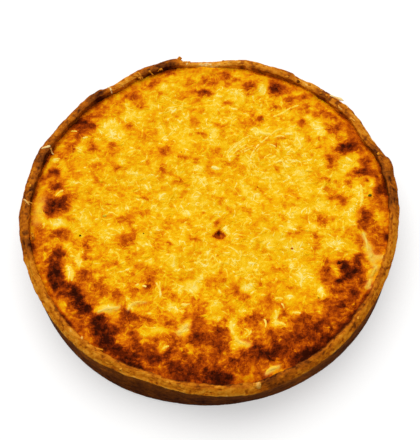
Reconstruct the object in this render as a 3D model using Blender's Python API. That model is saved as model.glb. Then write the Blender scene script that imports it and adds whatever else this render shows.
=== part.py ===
"""A whole baked quiche, out of its tin: a hand-pressed shortcrust case and the set filling in it.

Both pieces start as sections turned about +Z. Each is then pushed out of round, by the same
lobes, as fingers press pastry into a tin. Metres, +Z up, origin under the middle of the flat base.
"""

import math

import bmesh
import bpy

# The tin that the case was baked in, and how the case fills it.
RIM_RADIUS = 0.1296  # to the outer edge of the rim
HEIGHT = 0.0340  # from the flat base to the crest of the rim
WALL_FOOT_RADIUS = 0.1262  # outer face of the wall where it leaves the base's rounded corner
WALL_TOP_RADIUS = 0.1284  # outer face of the wall under the rim
CORNER = 0.0030  # radius of the rounded corner between base and wall, inside and out
WALL = 0.0060  # pastry thickness of the wall
BASE = 0.0050  # pastry thickness of the base

# The rim: its top falls outwards from the crest to a soft edge that stands proud of the wall.
RIM_FALL = 0.0030  # crest to outer edge, downwards
RIM_EDGE = 0.0010  # radius of the soft outer edge
CREST_INSET = 0.0052  # crest to outer edge, seen from above
INNER_EDGE_INSET = 0.0070  # inner edge of the rim to its outer edge, seen from above
INNER_EDGE_DROP = 0.0009  # inner edge below the crest

# The filling: nearly level, a little swollen in the middle, and shrunk down where it meets the case.
FILL_LEVEL = 0.0306
DOME = 0.0010
EDGE_SINK = 0.0013
EDGE_SHARE = 0.955  # share of the radius past which the surface sinks towards the case
TILT = 0.0011  # the set surface is this much lower at its low side than in the middle
LOW_SIDE = math.radians(150)
GAP = 0.0003  # between the filling and the case

# Where fingers pushed the case in or out: direction in degrees, then millimetres outwards,
# millimetres upwards, and the half width of the lobe in degrees.
LOBES = (
    (12, 2.4, 0.3, 12),
    (20, 2.4, 0.4, 6),
    (40, 3.7, 0.4, 9),
    (53, 1.9, 0.1, 7),
    (66, 2.4, 0.4, 8),
    (78, 2.6, 0.2, 6),
    (91, -1.6, -2.0, 6),
    (102, 2.6, 0.8, 5),
    (111, 2.2, 0.3, 7),
    (123, -1.4, -0.2, 5),
    (131, 1.5, 0.4, 7),
    (157, 1.6, 0.7, 8),
    (180, 1.0, 0.3, 10),
    (208, -0.7, 0.0, 14),
    (250, -3.1, -0.8, 12),
    (282, 1.9, 0.1, 9),
    (330, -2.9, -0.4, 22),
)
INNER_SHARE = 0.75  # share of a lobe that reaches the rim's inner edge
# Where the foot of the wall swells: direction in degrees, millimetres outwards, half width.
FOOT_SWELL = (236, 1.8, 22)

# Long swells of the filling's surface: wavelength, direction in degrees, height, start in degrees.
SWELLS = (
    (0.092, 15, 0.00040, 40),
    (0.071, 100, 0.00035, 200),
    (0.053, 62, 0.00030, 310),
    (0.041, 145, 0.00025, 80),
    (0.033, -20, 0.00020, 150),
)

STATIONS = 96  # sections round the full turn
CORNER_STEPS = 4
MM = 0.001


def smooth_step(t):
    """0 below 0, 1 above 1, with no kink at either end."""
    t = min(1.0, max(0.0, t))
    return t * t * (3 - 2 * t)


def lobe(angle, direction, half_width):
    """1 in the lobe's direction, fading to nothing on both sides of it. Angles in degrees."""
    away = (angle - direction + 180) % 360 - 180
    return math.exp(-((away / half_width) ** 2))


def pressed(r, angle, z):
    """Where hand pressing moves a turned point: a swollen foot below, the full lobes at the rim."""
    degrees = math.degrees(angle)
    out = sum(mm_out * lobe(degrees, at, width) for at, mm_out, _, width in LOBES) * MM
    up = sum(mm_up * lobe(degrees, at, width) for at, _, mm_up, width in LOBES) * MM
    at, mm_out, width = FOOT_SWELL
    foot = mm_out * lobe(degrees, at, width) * MM

    inner_edge = RIM_RADIUS - INNER_EDGE_INSET
    share = INNER_SHARE + (1 - INNER_SHARE) * smooth_step((r - inner_edge) / INNER_EDGE_INSET)
    reach = smooth_step(z / HEIGHT)
    push = reach * share * out + (1 - reach) * foot
    # Inside the pocket the push fades towards the middle, so that the filling stays whole.
    r += push * smooth_step(r / inner_edge)
    if r > inner_edge - WALL:
        z += smooth_step((z - FILL_LEVEL) / (HEIGHT - RIM_FALL - FILL_LEVEL)) * up
    return r * math.cos(angle), r * math.sin(angle), z


def wall_radius(z):
    """Outer face of the tapered wall at height z."""
    foot, top = CORNER, HEIGHT - RIM_FALL - 2 * RIM_EDGE
    return WALL_FOOT_RADIUS + (WALL_TOP_RADIUS - WALL_FOOT_RADIUS) * (z - foot) / (top - foot)


def pocket_radius(z):
    """Inner face of the wall at height z, with the rounded corner above the floor."""
    r = wall_radius(z) - WALL
    into_corner = BASE + CORNER - z
    if into_corner > 0:
        r -= CORNER - math.sqrt(max(0.0, CORNER**2 - into_corner**2))
    return r


def arc(r, z, radius, start, end, steps):
    """Points on an arc about (r, z), between two angles in degrees above the outward direction."""
    points = []
    for i in range(steps + 1):
        a = math.radians(start + (end - start) * i / steps)
        points.append((r + radius * math.cos(a), z + radius * math.sin(a)))
    return points


def case_section():
    """The case's outline from under the base's middle, out and up over the rim, to the pocket floor."""
    taper = math.degrees(
        math.atan2(WALL_TOP_RADIUS - WALL_FOOT_RADIUS, HEIGHT - RIM_FALL - CORNER)
    )
    section = [(0.0, 0.0), (WALL_FOOT_RADIUS / 2, 0.0)]
    section += arc(WALL_FOOT_RADIUS - CORNER, CORNER, CORNER, -90, -taper, CORNER_STEPS)
    edge_z = HEIGHT - RIM_FALL
    wall_top = edge_z - 2 * RIM_EDGE
    for share in (0.35, 0.7, 1.0):
        z = CORNER + (wall_top - CORNER) * share
        section.append((wall_radius(z), z))
    section += arc(RIM_RADIUS - RIM_EDGE, edge_z - RIM_EDGE, RIM_EDGE, -40, 60, 3)
    # Up the falling top of the rim to its crest, and over to its inner edge.
    section.append((RIM_RADIUS - CREST_INSET * 0.55, HEIGHT - RIM_FALL * 0.32))
    section.append((RIM_RADIUS - CREST_INSET, HEIGHT))
    section.append((RIM_RADIUS - INNER_EDGE_INSET, HEIGHT - INNER_EDGE_DROP))
    # Down inside the pocket: the wall, then the corner, then the floor.
    wall_foot = BASE + CORNER
    for share in (0.93, 0.75, 0.5, 0.25):
        z = wall_foot + (HEIGHT - wall_foot) * share
        section.append((pocket_radius(z), z))
    for i in range(CORNER_STEPS + 1):
        z = wall_foot - CORNER * math.sin(math.pi / 2 * i / CORNER_STEPS)
        section.append((pocket_radius(z), z))
    section += [(pocket_radius(BASE) / 2, BASE), (0.0, BASE)]
    return section


def swell(x, y):
    """The filling's long swells at a place: one sine for each entry, added up."""
    total = 0.0
    for length, direction, height, start in SWELLS:
        d = math.radians(direction)
        along = x * math.cos(d) + y * math.sin(d)
        total += height * math.sin(2 * math.pi * along / length + math.radians(start))
    return total


def filling_level(x, y):
    """Height of the set surface: dome, tilt and swells, sinking where it meets the case."""
    share = math.hypot(x, y) / pocket_radius(FILL_LEVEL)
    towards_low_side = (x * math.cos(LOW_SIDE) + y * math.sin(LOW_SIDE)) / pocket_radius(FILL_LEVEL)
    level = FILL_LEVEL + DOME * (1 - share**2) - TILT * towards_low_side
    level += swell(x, y) * (1 - 0.6 * share**4)
    return level - EDGE_SINK * smooth_step((share - EDGE_SHARE) / (1 - EDGE_SHARE))


def filling_section():
    """The filling's outline from its bottom's middle, out, up the side and in over the top.

    Each point is (share of the pocket's radius, share of the filling's height).
    """
    section = [(0.0, 0.0), (0.5, 0.0)]
    section += [(1.0, share) for share in (0.0, 0.06, 0.15, 0.35, 0.65, 1.0)]
    for ring in (0.985, 0.965, 0.94, 0.90, 0.84, 0.77, 0.69, 0.60, 0.50, 0.40, 0.30, 0.20, 0.10):
        section.append((ring, 1.0))
    section.append((0.0, 1.0))
    return section


def place_in_pocket(radius_share, angle, height_share):
    """A filling point from its shares: up to the set surface, and out to the gap inside the pocket."""
    bottom = BASE + GAP
    reach = radius_share * pocket_radius(FILL_LEVEL)
    top = filling_level(reach * math.cos(angle), reach * math.sin(angle))
    z = bottom + (top - bottom) * height_share
    return pressed(radius_share * (pocket_radius(z) - GAP), angle, z)


def turned(name, section, place, material):
    """Spins a section about +Z, then puts each point where place(r, angle, z) says."""
    bm = bmesh.new()
    line = [bm.verts.new((r, 0.0, z)) for r, z in section]
    edges = [bm.edges.new(pair) for pair in zip(line, line[1:])]
    bmesh.ops.spin(
        bm,
        geom=line + edges,
        cent=(0, 0, 0),
        axis=(0, 0, 1),
        angle=math.tau,
        steps=STATIONS,
        use_merge=True,
        use_duplicate=False,
    )
    bmesh.ops.remove_doubles(bm, verts=bm.verts, dist=1e-6)
    for vertex in bm.verts:
        x, y, z = vertex.co
        vertex.co = place(math.hypot(x, y), math.atan2(y, x), z)
    bmesh.ops.recalc_face_normals(bm, faces=bm.faces)
    mesh = bpy.data.meshes.new(name)
    bm.to_mesh(mesh)
    bm.free()
    mesh.shade_smooth()
    mesh.set_sharp_from_angle(angle=math.radians(50))
    mesh.materials.append(material)
    piece = bpy.data.objects.new(name, mesh)
    bpy.context.scene.collection.objects.link(piece)
    return piece


def baked(name, colour, roughness):
    """A plain baked surface: colour and roughness, with no metal in it."""
    material = bpy.data.materials.new(name)
    material.use_nodes = True
    shader = material.node_tree.nodes["Principled BSDF"]
    shader.inputs["Base Color"].default_value = (*colour, 1.0)
    shader.inputs["Roughness"].default_value = roughness
    shader.inputs["Metallic"].default_value = 0.0
    return material


def clear_scene():
    for old in list(bpy.data.objects):
        bpy.data.objects.remove(old, do_unlink=True)


clear_scene()
turned(
    "pastry_case",
    case_section(),
    pressed,
    baked("shortcrust", (0.42, 0.17, 0.035), 0.7),
)
turned(
    "cheese_filling",
    filling_section(),
    place_in_pocket,
    baked("baked_cheese", (0.86, 0.42, 0.02), 0.45),
)
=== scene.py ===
"""The looks of a whole baked quiche: shortcrust case, browned cheese, melted shreds, crumbs, specks.

Metres, +Z up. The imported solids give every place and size, and the fine pieces made here stand
for them: each follows its solid's own sections, with the bake's unevenness on top.
"""

import math

import bpy
import numpy as np
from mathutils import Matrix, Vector


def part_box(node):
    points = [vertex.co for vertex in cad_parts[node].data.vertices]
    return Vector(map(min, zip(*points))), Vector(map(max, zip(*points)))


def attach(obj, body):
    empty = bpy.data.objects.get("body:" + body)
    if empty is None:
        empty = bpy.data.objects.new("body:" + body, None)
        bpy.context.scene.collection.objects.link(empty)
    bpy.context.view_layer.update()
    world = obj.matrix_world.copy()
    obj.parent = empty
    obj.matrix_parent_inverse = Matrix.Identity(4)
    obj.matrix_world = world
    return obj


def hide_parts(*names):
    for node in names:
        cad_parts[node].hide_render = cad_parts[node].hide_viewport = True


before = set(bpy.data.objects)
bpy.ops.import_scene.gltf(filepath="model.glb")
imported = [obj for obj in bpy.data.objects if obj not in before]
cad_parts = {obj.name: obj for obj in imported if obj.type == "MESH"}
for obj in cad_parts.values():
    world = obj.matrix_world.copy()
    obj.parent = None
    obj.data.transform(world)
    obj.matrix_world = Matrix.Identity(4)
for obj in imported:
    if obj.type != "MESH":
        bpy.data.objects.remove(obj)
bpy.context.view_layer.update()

# ---------------------------------------------------------------- the pastry case
# Shortcrust, pressed into the tin by hand and trimmed with a knife, so that its rim is uneven, with
# pits, short cracks and a ragged lip. It browns most on the wall, which the tin touched, and on the
# rim's inner face, where cheese fat boiled against it.
MM = 0.001
TURN = 2 * math.pi
STATIONS = 96  # both solids are turned, with this many sections round them


def sections(node):
    """A turned solid's sections as an array of (station, point, (radius, height)).

    The corners of its triangles are merged. Every section is then walked from its lower end: each
    step goes on to the neighbour in the same section that isn't the one it came from.
    """
    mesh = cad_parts[node].data
    places = np.empty(len(mesh.vertices) * 3, np.float32)
    mesh.vertices.foreach_get("co", places)
    corner_of = np.empty(len(mesh.loops), np.int32)
    mesh.loops.foreach_get("vertex_index", corner_of)
    places = places.astype(float).reshape(-1, 3).round(6)
    corners, merged = np.unique(places, axis=0, return_inverse=True)
    x, y, z = corners.T
    r = np.hypot(x, y)
    station = np.round(np.arctan2(y, x) / TURN * STATIONS).astype(int) % STATIONS
    triangles = merged.ravel()[corner_of].reshape(-1, 3)
    pairs = np.concatenate([triangles[:, [0, 1]], triangles[:, [1, 2]], triangles[:, [2, 0]]])
    pairs = np.concatenate([pairs, pairs[:, ::-1]])
    same = (station[pairs[:, 0]] == station[pairs[:, 1]]) & (r[pairs].min(axis=1) > MM)
    pairs = np.unique(pairs[same], axis=0)
    everyone = np.arange(len(corners))
    one = np.minimum(np.searchsorted(pairs[:, 0], everyone), len(pairs) - 1)
    other = np.searchsorted(pairs[:, 0], everyone, side="right") - 1
    neighbours = pairs[np.stack([one, other], 1), 1]
    ends = np.flatnonzero((one == other) & (r > MM))
    here = ends[np.lexsort((z[ends], station[ends]))][::2]
    came_from, walked = here, [here]
    for _ in range(np.count_nonzero(r > MM) // STATIONS - 1):
        a, b = neighbours[here].T
        here, came_from = np.where(a == came_from, b, a), here
        walked.append(here)
    walked = np.stack(walked, 1)
    return np.stack([r[walked], z[walked]], -1)


def round_the_turn(stations, count):
    """Values at the stations carried to `count` even directions by their Fourier series."""
    return np.fft.irfft(np.fft.rfft(stations, axis=0), n=count, axis=0) * count / STATIONS


def spaced(profile, steps):
    """A section's points carried to new places along it: steps are lengths from its start."""
    middle = profile.mean(axis=0)
    along = np.r_[0, np.cumsum(np.hypot(*np.diff(middle, axis=0).T))]
    place = np.interp(steps, along, np.arange(len(along)))
    low = np.minimum(place.astype(int), len(along) - 2)
    part = (place - low)[:, None]
    return profile[:, low] * (1 - part) + profile[:, low + 1] * part


def unevenness(points, size, seed):
    """Gradient noise in space, from about -1 to 1.

    Space is cut into cubes `size` across. Each corner has a random slope, and a point's value is
    the eight slopes about it, each carried to the point and faded in by 6t^5 - 15t^4 + 10t^3.
    """
    draw = np.random.default_rng(seed)
    slots = 4096  # the corners share this many slopes, dealt out by a shuffled order
    order = draw.permutation(slots)
    slopes = draw.normal(size=(slots, 3))
    slopes /= np.linalg.norm(slopes, axis=1)[:, None]
    place = points / size + draw.uniform(100, 200, 3)
    cell = np.floor(place).astype(int)
    place = place - cell
    fade = place**3 * (place * (6 * place - 15) + 10)
    total = 0.0
    for corner in np.ndindex(2, 2, 2):
        i, j, k = (cell + corner).T
        slope = slopes[order[(order[(order[i % slots] + j) % slots] + k) % slots]]
        weight = np.prod(np.where(corner, fade, 1 - fade), axis=1)
        total = total + weight * np.einsum("ij,ij->i", slope, place - corner)
    return 1.6 * total  # the sum alone seldom passes 0.6


def ease(value, low, high):
    """0 where value is at low or less, 1 from high on, and a smooth S between them."""
    t = np.clip((value - low) / (high - low), 0, 1)
    return t * t * (3 - 2 * t)


def bump(angle, direction, width):
    """A hill round the turn: 1 in its direction and a bell of that half width, all in degrees."""
    away = (np.degrees(angle) - direction + 180) % 360 - 180
    return np.exp(-((away / width) ** 2))


def hills(angle, rows):
    """Hills round the turn added up: each row is (direction, half width in degrees, height)."""
    return sum(height * bump(angle, direction, width) for direction, width, height in rows)


def shade(red, green, blue):
    """A colour in the 0 to 255 steps of a paint chart, as linear light (the sRGB curve undone)."""
    c = np.array([red, green, blue]) / 255
    return (*np.where(c <= 0.04045, c / 12.92, ((c + 0.055) / 1.055) ** 2.4), 1.0)


def set_out(name, data):
    """An object that shows this mesh, light or camera, put in the scene."""
    thing = bpy.data.objects.new(name, data)
    bpy.context.scene.collection.objects.link(thing)
    return thing


def new_piece(name, points, quads, triangles, material, slot, **layers):
    """A smooth mesh from arrays, riding on the quiche, with one number per point in each layer."""
    mesh = bpy.data.meshes.new(name)
    mesh.vertices.add(len(points))
    mesh.vertices.foreach_set("co", points.astype(np.float32).ravel())
    corners = np.concatenate([quads.ravel(), triangles.ravel()]).astype(np.int32)
    sides = np.repeat([4, 3], [len(quads), len(triangles)])
    mesh.loops.add(len(corners))
    mesh.loops.foreach_set("vertex_index", corners)
    mesh.polygons.add(len(sides))
    mesh.polygons.foreach_set("loop_start", (np.cumsum(sides) - sides).astype(np.int32))
    mesh.update(calc_edges=True)
    mesh.shade_smooth()
    for layer, values in layers.items():
        attribute = mesh.attributes.new(layer, "FLOAT", "POINT")
        attribute.data.foreach_set("value", values.astype(np.float32).ravel())
    mesh.materials.append(material)
    piece = set_out(name, mesh)
    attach(piece, "root")
    return piece


def net(across, along):
    """Four-sided faces of a net of points numbered line by line, its last line joined to its first."""
    i, j = np.meshgrid(np.arange(across), np.arange(along - 1), indexing="ij")
    following = (i + 1) % across
    corners = [i * along + j, following * along + j, following * along + j + 1, i * along + j + 1]
    return np.stack(corners, -1).reshape(-1, 4)


def feed(tree, node, *inputs):
    """Gives a node's sockets what they take: each is (socket, a value or another node's output)."""
    for socket, value in inputs:
        if isinstance(value, bpy.types.NodeSocket):
            tree.links.new(value, node.inputs[socket])
        else:
            node.inputs[socket].default_value = value
    return node


def add(tree, kind, *inputs, **settings):
    """A new shader node of this kind with its settings made and its sockets fed."""
    node = tree.nodes.new("ShaderNode" + kind)
    for setting, value in settings.items():
        setattr(node, setting, value)
    return feed(tree, node, *inputs)


def grain_group():
    """Crumb and grain that pastry and cheese share: two noises, as a value about 0 and as relief.

    Coarse and Fine are the noises' scales, and Depth is how far the relief stands out, in metres.
    """
    group = bpy.data.node_groups.new("baked_grain", "ShaderNodeTree")
    for name, value in (("Coarse", 300.0), ("Fine", 900.0), ("Depth", 0.0002)):
        socket = group.interface.new_socket(name, in_out="INPUT", socket_type="NodeSocketFloat")
        socket.default_value = value
    group.interface.new_socket("Grain", in_out="OUTPUT", socket_type="NodeSocketFloat")
    group.interface.new_socket("Normal", in_out="OUTPUT", socket_type="NodeSocketVector")
    given = group.nodes.new("NodeGroupInput").outputs
    place = add(group, "TexCoord").outputs["Object"]
    finish = (("Vector", place), ("Detail", 3.0), ("Roughness", 0.6))
    coarse = add(group, "TexNoise", ("Scale", given["Coarse"]), *finish).outputs["Fac"]
    fine = add(group, "TexNoise", ("Scale", given["Fine"]), *finish).outputs["Fac"]
    total = add(group, "Math", (0, coarse), (1, fine), operation="ADD").outputs[0]
    average = 1.0  # of the two noises' sum
    centred = add(group, "Math", (0, total), (1, average), operation="SUBTRACT").outputs[0]
    relief = add(group, "Bump", ("Strength", 1.0), ("Distance", given["Depth"]), ("Height", centred))
    result = group.nodes.new("NodeGroupOutput")
    feed(group, result, ("Grain", centred), ("Normal", relief.outputs["Normal"]))
    return group


baked_grain = grain_group()


def baked_material(name, colours, roughness, grain, fleck, gloss):
    """A baked food's finish: its point layer `browning`, flecked by the grain, picks the colour.

    colours is a row of (browning, colour) stops, roughness is that of the palest and the darkest
    part, grain is (coarse, fine, depth), fleck is how far the grain moves the browning, and gloss
    is the specular level.
    """
    material = bpy.data.materials.new(name)
    material.use_nodes = True
    tree = material.node_tree
    layer = add(tree, "Attribute", attribute_name="browning").outputs["Fac"]
    crumb = add(tree, "Group", *zip(("Coarse", "Fine", "Depth"), grain), node_tree=baked_grain).outputs
    flecks = (0, crumb["Grain"]), (1, fleck), (2, layer)
    flecked = add(tree, "Math", *flecks, operation="MULTIPLY_ADD").outputs[0]
    ramp = add(tree, "ValToRGB", ("Fac", flecked))
    ramp.color_ramp.interpolation = "LINEAR"
    stops = ramp.color_ramp.elements
    stops.remove(stops[0])
    stops[0].position, stops[0].color = colours[0]
    for position, colour in colours[1:]:
        stops.new(position).color = colour
    rough = add(tree, "MapRange", ("Value", flecked), *zip(("To Min", "To Max"), roughness))
    feed(
        tree,
        tree.nodes["Principled BSDF"],
        ("Base Color", ramp.outputs["Color"]),
        ("Roughness", rough.outputs["Result"]),
        ("Normal", crumb["Normal"]),
        ("Specular IOR Level", gloss),
    )
    return material


shortcrust = baked_material(
    "shortcrust",
    (
        (0.00, shade(250, 220, 150)),
        (0.08, shade(240, 192, 110)),
        (0.18, shade(230, 156, 42)),
        (0.36, shade(208, 122, 12)),
        (0.52, shade(174, 88, 4)),
        (0.66, shade(136, 68, 5)),
        (0.82, shade(104, 47, 3)),
        (1.00, shade(60, 16, 1)),
    ),
    roughness=(0.62, 0.75),
    grain=(420.0, 1300.0, 0.00025),
    fleck=0.26,
    gloss=0.06,
)

# The fine rings: even directions round the case, and steps along its section that are short on the
# rim and long under the base, where nothing shows.
ROUND = 960
directions = np.arange(ROUND) * TURN / ROUND
case_sections = sections("pastry_case")
half_way_in = [0.5, 1]  # half the radius, the same height
case_sections = np.concatenate(
    [case_sections[:, :1] * half_way_in, case_sections, case_sections[:, -1:] * half_way_in], 1
)
case_rings = round_the_turn(case_sections, ROUND)
mean_case = case_sections.mean(axis=0)
case_length = np.r_[0, np.cumsum(np.hypot(*np.diff(mean_case, axis=0).T))]
crest = int(np.argmax(mean_case[:, 1]))
lip = int(np.argmax(mean_case[:, 0]))
base_ends = case_length[1]
corner_ends = base_ends + 6 * MM
rim_starts = case_length[lip] - 2.5 * MM
rim_ends = case_length[crest] + 8 * MM
floor_ends = case_length[-1]
stretches = (  # from where to where, and in how many steps
    (0, base_ends, 2),
    (base_ends, corner_ends, 9),
    (corner_ends, rim_starts, 21),
    (rim_starts, rim_ends, 55),
    (rim_ends, floor_ends, 5),
)
steps = np.concatenate([np.linspace(*stretch, endpoint=False) for stretch in stretches])
steps = np.append(steps, floor_ends)
past_lip = steps - case_length[lip]
past_crest = steps - case_length[crest]
case = spaced(case_rings, steps)
rim_top = (ease(past_lip, 0.6 * MM, 1.6 * MM) * ease(-past_crest, -1.2 * MM, -0.4 * MM))[1:-1, None]
# Each round moves a point half way to the middle of its neighbours, so the solid's corners wear off:
# two rounds everywhere, the others on the rim's top.
for turns in range(16):
    share = 1 if turns < 2 else rim_top
    case[:, 1:-1] += share * (case[:, :-2] - 2 * case[:, 1:-1] + case[:, 2:]) / 4
underside = case_rings[:, 0, 1].max()

# Where each fine point lies on the case, from 0 for not there to 1.
on_wall = ease(-past_lip, 0.6 * MM, 2.6 * MM)
# How far down the wall a point lies, for the painted shade that darkens the wall towards its foot.
shade_down_wall = ease(-past_lip, 1 * MM, 20 * MM)
on_lip = np.exp(-((past_lip / (1.0 * MM)) ** 2))
on_top = ease(past_lip, -1.5 * MM, 2 * MM) * ease(-past_crest, -2.6 * MM, -0.6 * MM)
inner_half = ease(past_crest, -2.5 * MM, 2.2 * MM)
on_inner = ease(past_crest, 1.4 * MM, 2.6 * MM)
on_base = ease(-steps, -base_ends - 3 * MM, -base_ends)

r, z = case[..., 0], case[..., 1]
angle = np.repeat(directions[:, None], len(steps), 1)


def in_space(r, angle, z):
    """Points at these distances from the axis, directions and heights, one per line."""
    return np.stack([r * np.cos(angle), r * np.sin(angle), z + 0 * angle], -1).reshape(-1, 3)


spots = in_space(r, angle, z)
# The same points on a hoop a third as wide: noise read there is drawn out three times round the rim.
HOOP = 43 * MM
strokes = in_space(np.full_like(r, HOOP), angle, np.repeat(steps[None], ROUND, 0))


def on_case(size, seed):
    """Unevenness over the whole case, `size` in millimetres."""
    return unevenness(spots, size * MM, seed).reshape(r.shape)


def brushed(size, seed):
    """The same, drawn out along the rim."""
    return unevenness(strokes, size * MM, seed).reshape(r.shape)


def round_rim(size, seed):
    """Unevenness round the rim alone, one value for each direction, `size` in millimetres."""
    return unevenness(in_space(125 * MM, directions, 0), size * MM, seed)


# Where one piece of pastry laps the next and the rim steps: direction, height of the step in
# millimetres, positive where the far side stands out, and how many degrees it takes to fade.
LAPS = ((20.5, -1.0, 5), (62, 0.8, 3), (99, 1.2, 4), (127, 0.9, 4), (155, 0.7, 4), (300, -0.4, 4))
step_out = np.zeros(ROUND)
for direction, height, fade in LAPS:
    away = (np.degrees(directions) - direction + 180) % 360 - 180
    step_out += height * MM * np.tanh(away / 0.5) * np.exp(-np.abs(away) / fade)
# The knife left the lip ragged. The rim's inner edge swelled into scallops, and the rim is narrowest
# where it sags at the back.
ragged = MM * (0.45 * round_rim(9, 11) + 0.30 * round_rim(3.5, 12))
scallop = MM * (0.75 * round_rim(11, 13) + 0.50 * round_rim(5, 14) + 0.35 * round_rim(2.2, 15))
scallop += 1.2 * MM * bump(directions, 91, 7)

pits = ease(on_case(2.2, 21), 0.34, 0.62)
# Thin creases where folds of pastry lie on each other, drawn out along the rim.
folds = ease(-np.abs(brushed(2.8, 36)), -0.07, 0) * ease(on_case(8, 37), -0.1, 0.3)
cracks = ease(-np.abs(on_case(5, 22)), -0.05, -0.01) * ease(on_case(9, 23), 0.1, 0.4)
swollen = 0.35 * on_case(8, 24) + 0.16 * brushed(2.0, 25) + 0.10 * on_case(1.5, 26)
slow = 0.35 * on_case(22, 27) + 0.10 * on_case(6, 28)
# How far the surface stands out along its own normal.
out = MM * (
    on_top * (1.1 * swollen - 0.35 * pits - 0.35 * cracks - 0.35 * folds)
    + on_wall * (1 - on_base) * (0.7 * slow + 0.10 * on_case(1.6, 29) - 0.15 * pits)
    + on_inner * (0.8 * swollen - 0.2 * pits - 0.3 * folds)
)
along_r, along_z = np.gradient(r, axis=1), np.gradient(z, axis=1)
long = np.maximum(np.hypot(along_r, along_z), 1e-9)
near_rim = ease(steps, rim_starts - 6 * MM, rim_starts + 2 * MM)
outer_part = near_rim * ease(-past_crest, 0, 4 * MM)
inner_part = ease(past_crest, -3.5 * MM, 0.5 * MM) * ease(-past_crest, -8 * MM, -6 * MM)
r = r + out * along_z / long
r = r + outer_part * (step_out + ragged)[:, None] + inner_part * scallop[:, None]
z = z - out * along_r / long * (1 - on_base)
z = np.maximum(z, underside)
case_r, case_z = r, z

# How the bake changes round the case: direction and half width in degrees, then how much darker
# (or paler, below 0) the pastry went. First the rim's top, then its inner half and inner face, and
# last the wall.
RIM_BAKE = (
    (1, 6, 0.08), (10, 8, 0.20), (18, 4, 0.10), (24, 4, 0.16), (34, 6, -0.08), (43, 3, 0.06),
    (50, 2.5, 0.24), (57, 3, -0.08), (63, 1.5, 0.16), (70, 4, -0.05), (80, 4, -0.09), (91, 6, -0.20),
    (99, 2, -0.06), (104, 4, 0.32), (111, 4, 0.22), (119, 4, -0.08), (130, 5, 0.28), (137, 3, 0.12),
    (145, 5, 0.14), (159, 5, 0.30), (171, 5, 0.22), (179, 3, 0.10), (185, 5, 0.14), (191, 2.5, 0.22),
    (203, 9, -0.01), (228, 8, -0.03), (250, 12, 0.02), (268, 3, 0.08), (275, 4, -0.06), (288, 5, 0.34),
    (301, 8, 0.14), (325, 15, 0.06), (348, 6, -0.04),
)
INNER_BAKE = (
    (5, 6, 0.25), (13, 5, 0.35), (24, 4, 0.45), (35, 3, 0.30), (42, 3, 0.40), (50, 4, 0.30),
    (59, 2, 0.35), (69, 7, 0.42), (79, 2, 0.35), (90, 6, -0.10), (104, 5, 0.40), (110, 4, 0.25),
    (117, 5, 0.14), (130, 4, 0.40), (143, 9, 0.36), (158, 5, 0.45), (168, 5, 0.42), (176, 4, 0.30),
    (191, 3, 0.50), (204, 5, 0.12), (214, 4, 0.20), (225, 4, 0.10), (240, 7, 0.20), (262, 7, 0.14),
    (278, 4, 0.25), (297, 7, 0.25), (316, 4, 0.25), (333, 5, 0.10), (352, 4, 0.25),
)
WALL_BAKE = ((264, 18, 0.10), (282, 10, 0.04), (232, 8, -0.05), (298, 8, -0.08))
rim_bake, inner_bake, wall_bake = (
    hills(directions, rows)[:, None] for rows in (RIM_BAKE, INNER_BAKE, WALL_BAKE)
)
front_side = np.clip(-np.sin(directions), 0, 1)[:, None]
# Where a dark line runs along the rim's inner edge, partly fat that boiled up and burnt, partly painted
# shadow of the rim: direction, half width, strength.
BURNT_AND_SHADOW_LINE = (
    (10, 8, 0.7), (28, 5, 0.5), (40, 3, 0.6), (70, 8, 0.5), (104, 3, 0.5), (131, 5, 0.5), (142, 3, 0.6),
    (158, 6, 0.6), (172, 5, 0.5), (191, 2, 0.8), (219, 6, 0.7), (246, 4, 0.9), (261, 4, 0.6),
    (273, 4, 0.8), (286, 3, 0.5), (302, 5, 1.0), (312, 4, 0.9), (321, 5, 0.9), (330, 4, 0.6),
    (352, 1.5, 0.8),
)


def burnt_and_shadow_line(angle):
    """How strong the dark line is in these directions, burnt fat and painted shadow together, at most 1."""
    return np.clip(hills(angle, BURNT_AND_SHADOW_LINE), 0, 1)


# The browning is an even bake of 0.36 with mottling from wide to fine. To it come what each dent caught,
# what each part of the case took on, a few darker scabs on the rim's top, and painted light and shade: a
# paler lip as a painted highlight, the wall darker towards its foot as painted shade, the rim's inner half
# paler at the back, where it lies in shade, and the painted shadow in the dark line along the front of the
# rim's inner edge.
browning = (
    0.36
    + 0.12 * on_case(11, 31)
    + 0.13 * brushed(2.4, 32)
    + 0.13 * on_case(2.4, 33)
    + 0.07 * on_case(1.2, 38)
    + (1 - on_wall) * rim_bake
    + 0.20 * pits * on_top
    + 0.25 * cracks * on_top
    + 0.22 * folds * (on_top + on_inner) * (1 - 0.6 * front_side)
    - 0.03 * on_top * front_side
    # Painted highlight: the lip is paler, most at the front.
    - 0.12 * on_lip * (0.3 + 0.7 * front_side)
    # Painted shade: the wall is darker towards its foot.
    + on_wall * (0.18 + 0.20 * shade_down_wall + wall_bake)
    # Painted light: the rim's inner half is browned only half as much at the back, where it lies in shade.
    + inner_half * (0.5 * inner_bake + 0.02) * (0.5 + 0.5 * front_side)
    + on_inner * (0.02 + 0.25 * inner_bake + 0.20 * on_case(3, 35))
    # Painted shadow: the dark line along the rim's inner edge at the front, on the pastry.
    + 0.5 * front_side * burnt_and_shadow_line(directions)[:, None] * ease(past_crest, 0.7 * MM, 1.4 * MM)
    - on_base * 0.18
    + 0.26 * ease(on_case(4.5, 34), 0.42, 0.62) * on_top
)

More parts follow.
